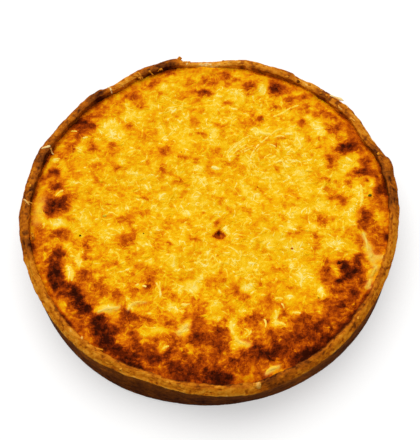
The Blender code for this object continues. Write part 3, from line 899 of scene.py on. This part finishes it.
def tubes(name, x, y, height, half, lift, edge, crest_tone, sides, material, slot):
    """Joined strands along the lines x, y, each an array of (strand, ring), on the surface height(x, y).

    The section is an ellipse with `half` as its half width, tilted as the surface is and raised by
    lift times its half height. Its width goes as the square root of 1 - |2t - 1|^5, t running
    from 0 to 1 along the strand, so that the ends are blunt, and they dip a little into the surface.
    edge is the browning where a strand meets the cheese, and crest_tone that of its crest. The paler crest
    is partly the shred's own colour and partly a painted highlight, and the browner sides are painted shade.
    """
    rings = x.shape[1]
    t = np.linspace(0, 1, rings)
    taper = np.sqrt(np.clip(1 - np.abs(2 * t - 1) ** 5, 0.02, 1))
    heading = np.arctan2(np.gradient(y, axis=1), np.gradient(x, axis=1))
    across = half * taper
    aside_x, aside_y = -np.sin(heading) * across, np.cos(heading) * across
    tilt = (height(x + aside_x, y + aside_y) - height(x - aside_x, y - aside_y)) / 2
    steepest = 0.7 * across
    tilt = np.clip(tilt, -steepest, steepest)
    z = height(x, y)
    z[:, 1:-1] = (z[:, :-2] + z[:, 1:-1] + z[:, 2:]) / 3
    high = FLATNESS * across
    raised = z + lift * high - 0.2 * MM * (1 - taper)
    round_it = np.arange(sides) * TURN / sides + TURN / 4
    ring_x = x[..., None] + aside_x[..., None] * np.cos(round_it)
    ring_y = y[..., None] + aside_y[..., None] * np.cos(round_it)
    ring_z = raised[..., None] + high[..., None] * np.sin(round_it) + tilt[..., None] * np.cos(round_it)
    body = np.stack([ring_x, ring_y, ring_z], -1).reshape(len(x), -1, 3)
    ends = np.stack([x, y, raised], -1)[:, [0, -1]]
    points = np.concatenate([body, ends], 1)
    i, j = np.meshgrid(np.arange(rings - 1), np.arange(sides), indexing="ij")
    after = (j + 1) % sides
    corners = [i * sides + j, (i + 1) * sides + j, (i + 1) * sides + after, i * sides + after]
    quads = np.stack(corners, -1).reshape(-1, 4)
    j = np.arange(sides)
    after = (j + 1) % sides
    tail, head = rings * sides, rings * sides + 1
    first = np.stack([np.full(sides, tail), j, after], 1)
    final = np.stack([np.full(sides, head), tail - sides + after, tail - sides + j], 1)
    offset = (np.arange(len(x)) * points.shape[1])[:, None, None]
    quads = (quads[None] + offset).reshape(-1, 4)
    triangles = (np.concatenate([first, final])[None] + offset).reshape(-1, 3)
    # Pale crest and browner sides: the shred's own paleness with a painted highlight on top and painted
    # shade at the sides.
    pale_and_lit_crest = np.clip(np.sin(round_it), 0, 1)
    tone = edge[..., None] + (crest_tone - edge)[..., None] * pale_and_lit_crest
    tone = np.concatenate([tone.reshape(len(x), -1), edge[:, [0, -1]]], 1)
    points = points.reshape(-1, 3)
    cream = CREAM_SHARE * creamy(points[:, 0], points[:, 1])
    return new_piece(name, points, quads, triangles, material, slot, browning=tone, cream=cream)


def on_cheese(x, y):
    """Height of the melted skin under these points."""
    return (level(x.ravel(), y.ravel()) + relief(x.ravel(), y.ravel())).reshape(x.shape)


def strands(name, count, length, width, lift, sides, rings, seed, paler):
    """Scattered strands, equally dense all over, without those that would touch the rim.

    A strand's heading turns evenly and sways once. length and width are (least, most) in millimetres, lift
    is as in tubes, and paler is how much paler the crests are, partly the shreds' own colour and partly a
    painted highlight, less so on dark cheese.
    """
    draw = np.random.default_rng(seed)
    place = edge_radius.min() * 0.985 * np.sqrt(draw.random(count))
    turn = draw.uniform(0, TURN, count)
    start = np.stack([place * np.cos(turn), place * np.sin(turn)], -1)
    long = draw.uniform(*length, count) * MM
    half = draw.uniform(*width, count)[:, None] * MM / 2
    t = np.linspace(0, 1, rings)
    heading = draw.uniform(0, TURN, (count, 1)) + draw.normal(0, 0.9, (count, 1)) * (t - 0.5)
    sway = draw.normal(0, 0.5, (count, 1)) * np.sin(TURN * t + draw.uniform(0, TURN, (count, 1)))
    stride = (long / (rings - 1))[:, None]
    x = start[:, :1] + np.cumsum(np.cos(heading + sway) * stride, 1)
    y = start[:, 1:] + np.cumsum(np.sin(heading + sway) * stride, 1)
    clear_of_rim = np.hypot(x, y).max(1) < edge_radius.min() * 0.99
    x, y, half = x[clear_of_rim], y[clear_of_rim], half[clear_of_rim]
    lift = draw.uniform(*lift, (len(x), 1))
    edge = browned(x.ravel(), y.ravel()).reshape(x.shape)
    crest_tone = edge - paler * draw.uniform(-0.5, 2.0, (len(x), 1)) * np.clip(1.15 - edge, 0.15, 1)
    # Painted shade: a strand's edge is a little browner where it meets the cheese.
    edge = edge + 0.03  # a little browner than the cheese, where the two meet
    return tubes(name, x, y, on_cheese, half, lift, edge, crest_tone, sides, baked_cheese, "baked_cheese")


strands("wide_shreds", 1750, (5, 12), (1.8, 3.4), (-0.86, -0.62), sides=6, rings=9, seed=71, paler=0.13)
strands("fine_shreds", 2450, (3, 9), (1.2, 2.0), (-0.82, -0.58), sides=5, rings=8, seed=72, paler=0.18)

# Pale strands laid one by one on the cheese: from right and back, to right and back, width, sideways bow,
# all in millimetres, and the browning of the crest.
LONG_PALE = (
    (-74, -72, -70.5, -70.3, 2.2, 0, 0.14), (-71.5, -70.6, -59.5, -68.7, 2.2, 0.5, 0.12),
    (-53.8, -70.8, -50.6, -65.6, 2.0, 0.3, 0.16), (-50.6, -65.4, -43, -65, 1.8, 0.5, 0.18),
    (36, -114.5, 44, -110.5, 2.8, 0.8, 0.22), (-14.5, -81, -17.5, -83.5, 2.6, 0.4, 0.10),
    (-17, -83, -20.8, -87, 2.8, 0.5, 0.14), (-15.5, -84.5, -18.5, -86, 2.2, 0.3, 0.08),
    (104, -14, 106.5, -27, 2.2, 0.8, 0.12), (107.2, -48, 105.2, -54, 2.4, 0.3, 0.18),
    (-36, -50, -33, -62, 2, 1.5, 0.12), (14, -78, 16, -89, 2.8, -1, 0.12),
    (16, -89, 24, -95, 2.4, -1.6, 0.14), (35, -77, 36, -84, 1.8, 1, 0.12),
    (22, -84, 26, -88, 1.6, 1.0, 0.14), (23, -90, 27, -85, 1.6, -1, 0.14),
    (40, -80, 50, -82, 2.6, 1, 0.14), (43, -71, 43, -78, 2.4, 0.8, 0.12),
    (51, -61, 55, -61, 1.6, 0.3, 0), (43, -63, 49, -63, 2, 0.6, 0.1),
    (47, -66, 49, -70, 1.5, 0.4, 0.08), (55, -73, 60, -73, 2, 0.4, 0.08),
    (103, 5, 104, 25, 2.6, -1.5, 0.12), (12, -24, 20, -31, 1.5, 0.8, 0.12),
    (-107, 15, -101, 20, 1.8, 0.6, 0.1), (-94, -38, -92, -50, 2.6, 1, 0.16),
    (-88, -28, -87, -40, 2.4, -1, 0.14), (1, 38, 7, 36, 2.6, 0.5, 0.02),
    (-10, 39, -3, 34, 1.6, 0.8, 0.1), (-17, 4, -14, 0, 2.6, 0.5, 0.08),
    (15, 87, 20, 86, 1.6, 0.3, 0.02), (4, 98, 9, 97, 2, 0.4, 0.08),
    (-49, -53, -47, -52, 1.8, 0.3, 0.06), (-45, -53, -42, -54, 1.8, 0.3, 0.06),
    (-70, -10, -60, -14, 1.4, 1.2, 0.14), (45, 80, 55, 86, 2.2, -0.6, 0.15),
    (52, 83, 65, 90, 2.2, 0.8, 0.15), (-24, 88, -28, 83, 1.8, 0.5, 0.06),
    (-33, 61, -29, 61, 1.8, 0.3, 0.04), (-90, 62, -86, 63, 2.2, 0.3, 0.05),
    (-110, 45, -105, 46, 2, 0.3, 0.08), (-99, 69, -94, 68, 2, 0.3, 0.1),
    (95, 46, 100, 42, 2, 0.5, 0.06), (-31, -98, -26, -96, 1.8, 0.4, 0.12),
    (-18, -67, -13, -66, 1.6, 0.3, 0.04), (-24, -31, -25, -39, 2, 0.6, 0.1),
    (10, -9, 14, -15, 1.4, 0.5, 0.12), (-46, 33, -60, 36, 1.6, 1.4, 0.14),
    (11.4, 47.1, 25.7, 61, 1.4, 0.8, 0.07), (14.5, 47, 27, 57.5, 1.2, 0.6, 0.13),
    (15, 52, 25, 61.9, 1.2, 0.6, 0.11), (12.5, 50.5, 20, 58.5, 1.2, 0.5, 0.14),
    (19.9, 49.5, 31.6, 56.1, 1.3, 0.4, 0.1), (18.5, 48, 27, 52.5, 1.2, 0.3, 0.15),
    (22, 49, 32.5, 54.5, 1.1, 0.3, 0.13), (28.2, 44.6, 35.5, 57.7, 1.6, 0.8, 0.06),
    (29.8, 44.3, 36.5, 55.5, 1.2, 0.6, 0.14), (35.5, 57.7, 42, 63.5, 1.9, -0.4, 0.14),
    (42, 63.5, 52.1, 70.2, 2.2, 0.6, 0.12), (34.3, 67.7, 43.4, 65.2, 2.8, -0.8, 0.06),
    (53.3, 65.2, 59, 64.8, 2.4, 0.3, 0.03), (46.2, 62.7, 53.3, 63.1, 1.7, 0.4, 0.1),
    (45.7, 41.4, 51.3, 43.8, 2.4, 0.4, 0.05), (51.3, 43.5, 63.2, 43, 1.6, 0.6, 0.07),
    (50.5, 43.5, 52.6, 39.8, 1.9, 0.4, 0.06), (54.3, 49.5, 57.9, 52, 1.8, 0.3, 0.08),
    (57.9, 52, 59.9, 49.5, 1.6, 0.3, 0.08), (22, 60, 28, 63, 1.9, 0.4, 0.1),
    (27.5, 43, 31, 37, 1.1, 0.3, 0.12), (29.5, 43.5, 33, 37.5, 1.1, 0.3, 0.14),
    (25.5, 42, 28.5, 36.5, 1.1, 0.3, 0.16), (38, 45, 44, 49, 1.5, 0.6, 0.13),
    (40, 57, 47, 54, 1.5, 0.6, 0.12),
)
# Strands and curls that lie on the rim, in the same measures.
ON_RIM = (
    (86, 97, 96.5, 93.5, 2.6, 0.8, 0.05), (95, 89, 99, 86, 1.4, 1.6, 0.20),
    (92, 88, 95, 84, 1.2, -0.8, 0.25), (-74, 106, -70.5, 99.5, 1.5, 0.4, 0.10),
    (-118.3, 52.6, -111.6, 53.6, 1.8, -0.3, 0.06), (-111.6, 53, -109.6, 49.3, 1.2, -0.6, 0.16),
    (-129, 12.5, -123.5, 6.5, 1.3, 0.5, 0.16), (-126.5, 8, -121.5, 9, 1.0, 0.5, 0.22),
    (-55.5, 113, -49.5, 111.5, 1.8, 0.8, 0.34), (-52, 116.5, -48, 112.5, 1.2, -0.5, 0.36),
    (-67, 106.5, -62, 105, 1.3, 0.4, 0.26), (-38, 118.5, -34, 119.5, 1.2, 0.4, 0.34),
    (-20, 126, -16, 127.5, 1.4, 0.7, 0.14), (-17, 123, -14.5, 126, 1.0, 0.3, 0.16),
    (8, 128.5, 12.5, 127, 1.3, 0.5, 0.16), (-5, 124.5, 2, 125.5, 1.1, 0.4, 0.14),
    (13, 125.5, 18, 126.5, 1.0, -0.4, 0.20), (30.3, -121.6, 30.9, -125.6, 4.0, 0.1, 0.24),
    (27.9, -121.8, 28.2, -125, 1.3, 0.1, 0.36), (-75, -97.2, -69, -99.6, 1.9, 0.6, 0.34),
    (-121, -14, -119.5, -18, 1.3, 0.3, 0.32), (117, 58, 113, 63, 1.4, 0.6, 0.24),
    (103.5, 74, 99, 77, 1.3, -0.5, 0.24), (76, 104, 82, 100.5, 1.2, 0.6, 0.26),
    (-44.5, 117, -41, 115.5, 1.2, 0.5, 0.34),
)


def on_pastry(x, y):
    """Height of the rim under these points: that of the point of its section at the nearest radius."""
    turn = np.round(np.arctan2(y, x) / TURN * ROUND).astype(int) % ROUND
    rim_points = np.flatnonzero((past_lip > 0) & (past_crest < 4 * MM))
    nearest = np.abs(case_r[turn][..., rim_points] - np.hypot(x, y)[..., None]).argmin(-1)
    return case_z[turn, rim_points[nearest]]


def laid(name, rows, height, material, slot, lift, paler, edge_most):
    """Strands laid one by one: straight from end to end, bowed sideways by half a sine, a little crooked.

    paler is taken off the rows' browning of the crests, and edge_most is the most by which the
    edges, which take the browning of the cheese under them, are browner than the crests.
    """
    rings, sides = 14, 8
    from_x, from_y, to_x, to_y, width, bow, crest = np.array(rows).T[..., None]
    t = np.linspace(0, 1, rings)
    long = np.hypot(to_x - from_x, to_y - from_y)
    x, y = from_x + (to_x - from_x) * t, from_y + (to_y - from_y) * t
    places = np.stack([x, y, 0 * x], -1).reshape(-1, 3)
    crooked = bow * np.sin(math.pi * t) + 0.3 * unevenness(places, 3.5, 73).reshape(x.shape)
    x = (x - (to_y - from_y) / long * crooked) * MM
    y = (y + (to_x - from_x) / long * crooked) * MM
    half = width / 2 * MM * (1 + 0.4 * unevenness(places, 2.5, 74).reshape(x.shape))
    crest = crest - paler + 0.08 * unevenness(places, 3, 76).reshape(x.shape)
    edge = np.clip(browned(x.ravel(), y.ravel()).reshape(x.shape), crest, crest + edge_most)
    return tubes(name, x, y, height, half, lift, edge, crest, sides, material, slot)


def on_rim(x, y):
    """Height of whatever is on top at the rim, pastry or cheese.

    More than a millimetre inside the cheese's edge, the pastry counts as 2 mm lower than it is.
    """
    inside = np.hypot(x, y) < edge_at(np.arctan2(y, x)) - 1 * MM
    return np.maximum(on_pastry(x, y) - 2 * MM * inside, on_cheese(x, y))


laid(
    "pale_shreds", LONG_PALE, on_cheese, baked_cheese, "baked_cheese", lift=-0.55, paler=0.0, edge_most=0.4
)
laid("rim_shreds", ON_RIM, on_rim, shortcrust, "shortcrust", lift=0.2, paler=0.08, edge_most=0.12)

# ---------------------------------------------------------------- crumbs, pepper and herb
# Crumbs of pastry on the rim, and single grains of pepper and bits of herb that came up through the
# cheese. Each is a small lump, pressed a little flat, with dents.


def lumps(name, rows, material, slot, height):
    """Closed lumps: right, back, half width, half depth, half height in millimetres, and browning.

    Each is a ball of rings from pole to pole whose radius swells and dents by gradient noise, sunk
    by a quarter of its height.
    """
    right, back, half_wide, half_deep, half_high, tone = np.array(rows).T[..., None, None]
    around, up = 10, 7
    turn = (np.arange(around) * TURN / around)[:, None]
    rise = np.linspace(-math.pi / 2, math.pi / 2, up + 2)[1:-1]
    ball = np.stack([np.cos(turn) * np.cos(rise), np.sin(turn) * np.cos(rise), np.sin(rise) + 0 * turn], -1)
    seat = height(right * MM, back * MM)
    seeds = np.stack([right, back, 0 * right], -1)
    dent = 1 + 0.35 * unevenness((ball + 9 * seeds).reshape(-1, 3), 0.9, 75).reshape(len(rows), around, up)
    x = right + half_wide * ball[..., 0] * dent
    y = back + half_deep * ball[..., 1] * dent
    z = seat / MM + half_high * (0.5 + ball[..., 2] * dent)
    body = np.stack([x, y, z], -1).reshape(len(rows), -1, 3)
    poles = np.stack([right[..., 0], back[..., 0], seat[..., 0] / MM + half_high[..., 0] * 0.5], -1)
    bottom, top = poles - [0, 0, 1] * half_high[..., 0, None], poles + [0, 0, 1] * half_high[..., 0, None]
    points = np.concatenate([body, bottom, top], 1) * MM
    each = np.arange(around)
    beside = (each + 1) % around
    low = np.stack([np.full(around, around * up), beside * up, each * up], 1)
    cap = np.stack([np.full(around, around * up + 1), each * up + up - 1, beside * up + up - 1], 1)
    offset = (np.arange(len(rows)) * points.shape[1])[:, None, None]
    quads = (net(around, up)[None] + offset).reshape(-1, 4)
    triangles = (np.concatenate([low, cap])[None] + offset).reshape(-1, 3)
    tones = np.broadcast_to(tone[..., 0], (len(rows), points.shape[1]))
    return new_piece(name, points.reshape(-1, 3), quads, triangles, material, slot, browning=tones)


lumps(
    "pastry_crumbs",
    (
        (-22, 130.2, 1.6, 1.2, 1.2, 0.30), (10, 127.5, 0.9, 0.8, 0.6, 0.35), (-83, -91, 0.9, 1.3, 0.4, 0.14),
        (-36, 119, 1.0, 0.8, 0.7, 0.30),
        (-120, -16, 1.0, 1.2, 0.6, 0.28), (97, -77, 0.8, 1.1, 0.3, 0.22), (63.9, 107.9, 1.3, 1.0, 0.9, 0.75),
        (56, 112, 1.4, 1.0, 0.8, 0.30), (-15, 127, 1.2, 0.8, 0.7, 0.20), (-31, 124, 0.9, 0.8, 0.6, 0.5),
        (80, 98, 1.2, 1.0, 0.7, 0.45), (118, 47, 1.0, 1.3, 0.6, 0.30), (-108, 62, 1.1, 0.9, 0.7, 0.35),
        (-124, 22, 0.9, 1.2, 0.6, 0.30), (-57, -112, 1.0, 0.8, 0.4, 0.18), (20, -123, 1.0, 0.7, 0.4, 0.60),
        (52, 116, 0.9, 0.7, 0.6, 0.3), (72, 105.5, 1.0, 0.8, 0.6, 0.45), (33.5, 123.5, 0.9, 0.7, 0.5, 0.4),
        (84, 96, 0.9, 1.0, 0.6, 0.35),
    ),
    shortcrust,
    "shortcrust",
    on_pastry,
)
lumps(
    "pepper_grains",
    (
        (-88, -15, 0.75, 0.65, 0.5, 1.2), (-45, -14, 0.4, 0.4, 0.3, 1.0), (55.5, -25.5, 0.9, 0.7, 0.3, 0.72),
        (33, 22, 0.4, 0.4, 0.3, 0.8), (-20, 50, 0.4, 0.35, 0.3, 0.8), (72, -62, 0.5, 0.4, 0.3, 0.9),
    ),
    baked_cheese,
    "baked_cheese",
    on_cheese,
)
herb_leaf = baked_material(
    "herb_leaf",
    ((0.0, shade(206, 184, 40)), (1.0, shade(38, 36, 12))),
    roughness=(0.6, 0.75),
    grain=(700.0, 2000.0, 0.0002),
    fleck=0.5,
    gloss=0.04,
)
lumps(
    "herb_bits",
    ((110.5, 15, 1.3, 1.0, 0.5, 0.85), (-72, 0, 1.4, 0.8, 0.2, -0.2), (38, 78, 0.6, 0.4, 0.3, 0.5)),
    herb_leaf,
    "baked_cheese",
    on_cheese,
)

# ---------------------------------------------------------------- the table, the light and the camera
# A table of plain pale paper in a white room, under one wide, soft light from above and behind. To the
# camera the paper is pale and glows a little, so that it is near white. To the quiche it is a dull
# grey, so that it lights the wall only faintly from below.
far = 3.0
table = bpy.data.meshes.new("table")
table.from_pydata([(-far, -far, 0), (far, -far, 0), (far, far, 0), (-far, far, 0)], [], [(0, 1, 2, 3)])
table_top = set_out("table", table)
paper = bpy.data.materials.new("table_paper")
paper.use_nodes = True
rays = add(paper.node_tree, "LightPath").outputs["Is Camera Ray"]
shades = ("To Min", 0.14), ("To Max", 0.6)
tint = add(paper.node_tree, "MapRange", ("Value", rays), *shades).outputs["Result"]
feed(
    paper.node_tree,
    paper.node_tree.nodes["Principled BSDF"],
    ("Base Color", tint),
    ("Emission Color", tint),
    ("Emission Strength", 0.8),
    ("Roughness", 0.9),
    ("Specular IOR Level", 0.1),
)
table.materials.append(paper)


def aim(thing, place, target):
    """Puts a light or a camera in its place, looking at the target with its top upwards."""
    thing.location = place
    thing.rotation_euler = (Vector(target) - Vector(place)).to_track_quat("-Z", "Y").to_euler()


sun = bpy.data.lights.new("skylight", "SUN")
sun.energy = 2.3
sun.angle = math.radians(70)
sun.color = (1.0, 0.99, 0.97)
sky = set_out("skylight", sun)
aim(sky, (-0.15, 0.5, 1.0), (0, 0, 0))
world = bpy.data.worlds.new("room")
world.use_nodes = True
walls = world.node_tree.nodes["Background"]
feed(world.node_tree, walls, ("Color", (1.0, 1.0, 1.0, 1.0)), ("Strength", 0.38))
bpy.context.scene.world = world
bpy.context.scene.view_settings.view_transform = "Standard"

# The camera looks down steeply from the front, at a point in the cheese just short of the middle.
DISTANCE = 0.85
RAISED = math.radians(62)
CHEESE_LEVEL = 0.032
lens = bpy.data.cameras.new("camera")
lens.lens = 101.7
lens.clip_start = 0.05
eye = set_out("camera", lens)
aim(
    eye,
    (0, -DISTANCE * math.cos(RAISED), CHEESE_LEVEL + DISTANCE * math.sin(RAISED)),
    (0.0002, -0.0040, CHEESE_LEVEL),
)
bpy.context.scene.camera = eye
